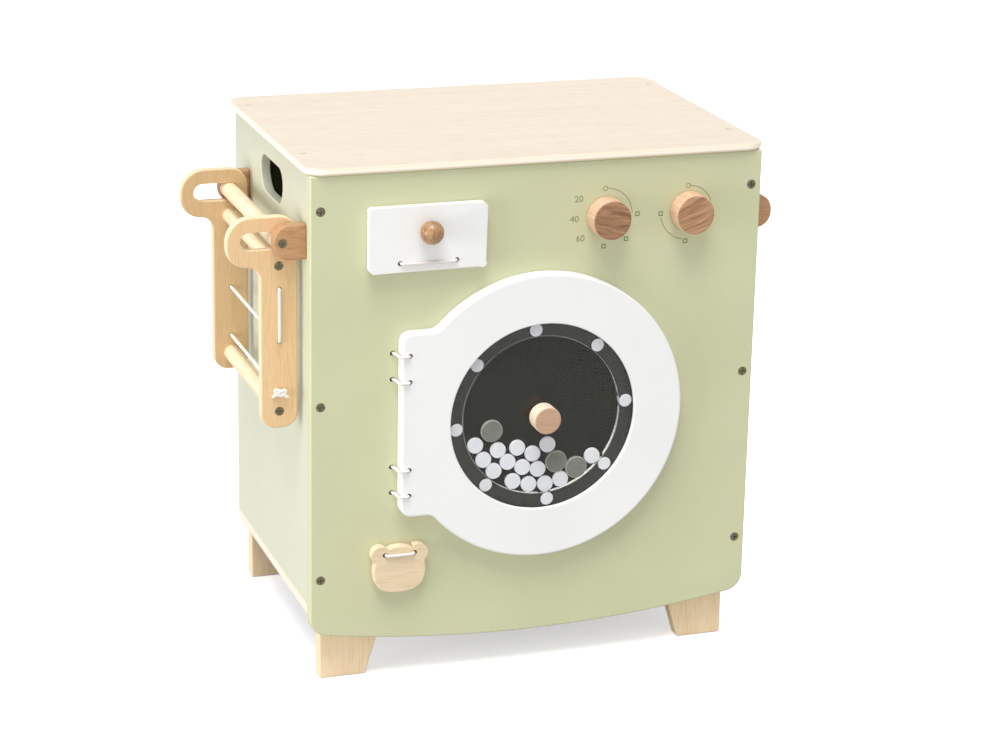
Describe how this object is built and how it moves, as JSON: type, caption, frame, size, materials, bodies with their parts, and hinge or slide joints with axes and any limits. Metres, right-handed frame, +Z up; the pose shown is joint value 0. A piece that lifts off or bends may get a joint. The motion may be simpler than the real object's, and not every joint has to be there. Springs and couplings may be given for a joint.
{
  "type": "toy washing machine",
  "caption": "Play washing machine of green-painted board and birch plywood on wooden feet, with a round white door and turning window, small flaps, turning knobs and a laced drying rack.",
  "frame": {"origin": "On the floor, under the middle of the whole toy, rack and rods included.", "axes": "X runs to the right as seen from in front, along the toy's width; Y runs from the front panel to the back panel; Z is up. The door faces -Y and the drying rack is at -X."},
  "size_m": [0.484, 0.3098, 0.458],
  "materials": {
    "green_paint": "satin paint",
    "white_paint": "satin paint",
    "plywood": "clear lacquer",
    "pale_wood": "clear lacquer",
    "beech_wood": "clear lacquer",
    "screw_bronze": "burnished",
    "clear_plastic": "clear",
    "dark_plastic": "gloss",
    "smoky_plastic": "translucent",
    "elastic_cord": "woven"
  },
  "bodies": {
    "cabinet": {"front_panel": "green_paint", "left_side_panel": "green_paint", "right_side_panel": "green_paint", "back_panel": "green_paint", "base_board": "plywood", "top_board": "plywood", "front_left_foot": "pale_wood", "front_right_foot": "pale_wood", "back_left_foot": "pale_wood", "back_right_foot": "pale_wood", "panel_screws": "screw_bronze", "top_dowels": "beech_wood", "base_screws": "screw_bronze", "foot_screws": "screw_bronze", "left_front_block": "beech_wood", "left_back_block": "beech_wood", "right_front_block": "beech_wood", "right_back_block": "beech_wood", "block_screws": "screw_bronze", "rod_screws": "screw_bronze", "rack_rod": "beech_wood", "hanging_rod": "beech_wood", "hinge_cord_ends": "elastic_cord", "flap_cord_ends": "elastic_cord", "animal_cord_ends": "elastic_cord"},
    "door": {"door_ring": "white_paint", "window_keeper": "white_paint", "keeper_screws": "screw_bronze", "white_discs": "white_paint", "clear_discs": "smoky_plastic", "upper_hinge_cord": "elastic_cord", "lower_hinge_cord": "elastic_cord"},
    "window": {"front_pane": "clear_plastic", "back_pane": "dark_plastic", "spacer_ring": "clear_plastic", "spacer_pins": "white_paint", "window_hub": "dark_plastic", "window_knob": "beech_wood", "window_screw": "screw_bronze"},
    "top_flap": {"detergent_flap": "white_paint", "flap_ball": "beech_wood", "ball_screw": "screw_bronze", "flap_cord": "elastic_cord"},
    "low_flap": {"animal_flap": "plywood", "animal_cord": "elastic_cord"},
    "program_dial": {"program_knob": "beech_wood", "program_spindle": "pale_wood", "program_collar": "pale_wood"},
    "heat_dial": {"heat_knob": "beech_wood", "heat_spindle": "pale_wood", "heat_collar": "pale_wood"},
    "rack": {"rack_front_arm": "plywood", "rack_back_arm": "plywood", "rack_upper_rod": "pale_wood", "rack_lower_rod": "pale_wood", "rack_screws": "screw_bronze", "rack_line": "elastic_cord"}
  },
  "joints": [
    {"name": "door_hinge", "type": "hinge", "parent": "cabinet", "child": "door", "pos_m": [-0.1095, -0.12885, 0.2317], "axis": [0, 0, -1], "range_deg": [0, 100]},
    {"name": "window_turn", "type": "hinge", "parent": "door", "child": "window", "pos_m": [0.021, -0.131, 0.2317], "axis": [0, 1, 0], "continuous": true},
    {"name": "top_flap_hinge", "type": "hinge", "parent": "cabinet", "child": "top_flap", "pos_m": [-0.0825, -0.12745, 0.36775], "axis": [1, 0, 0], "range_deg": [0, 80], "stiffness_Nm_per_rad": 0.012, "springref_deg": -17.19},
    {"name": "low_flap_hinge", "type": "hinge", "parent": "cabinet", "child": "low_flap", "pos_m": [-0.105, -0.12745, 0.12634], "axis": [-1, 0, 0], "range_deg": [0, 75]},
    {"name": "program_turn", "type": "hinge", "parent": "cabinet", "child": "program_dial", "pos_m": [0.0765, -0.121, 0.40225], "axis": [0, 1, 0], "continuous": true},
    {"name": "heat_turn", "type": "hinge", "parent": "cabinet", "child": "heat_dial", "pos_m": [0.152, -0.121, 0.40225], "axis": [0, 1, 0], "continuous": true},
    {"name": "rack_hinge", "type": "hinge", "parent": "cabinet", "child": "rack", "pos_m": [-0.1975, 0.003, 0.3895], "axis": [0, 1, 0], "range_deg": [0, 90]}
  ]
}
